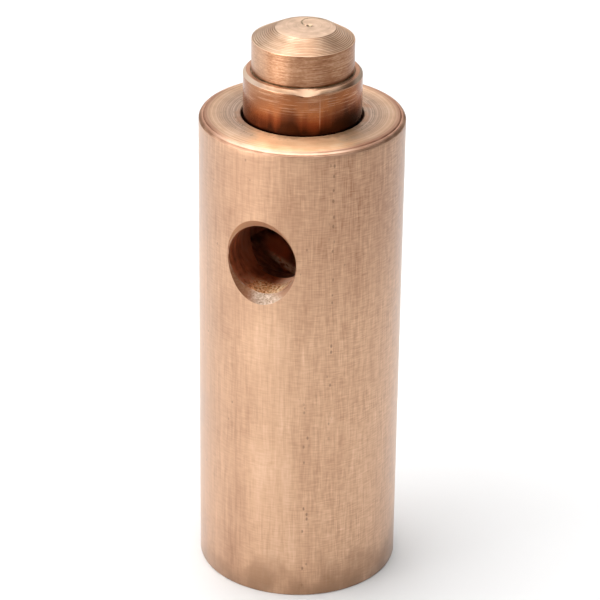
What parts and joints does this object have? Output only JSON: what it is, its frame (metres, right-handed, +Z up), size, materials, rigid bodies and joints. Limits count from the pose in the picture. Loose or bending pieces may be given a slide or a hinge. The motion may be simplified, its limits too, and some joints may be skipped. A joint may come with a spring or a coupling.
{
  "type": "electrode holder",
  "caption": "Round copper electrode holder with a socket, a countersunk side port and a stepped, cone-tipped electrode that lifts out.",
  "frame": {"origin": "centre of the holder's bottom face", "axes": "+Z up the common axis of holder, socket and electrode; the side port faces -Y"},
  "size_m": [0.04, 0.04, 0.1148],
  "materials": {
    "brushed_copper": "brushed",
    "turned_copper": "turned"
  },
  "bodies": {
    "holder": {"holder_body": "brushed_copper"},
    "electrode": {"electrode": "turned_copper"}
  },
  "joints": [
    {"name": "electrode_lift", "type": "slide", "parent": "holder", "child": "electrode", "axis": [0, 0, 1], "range_m": [0, 0.016]}
  ]
}
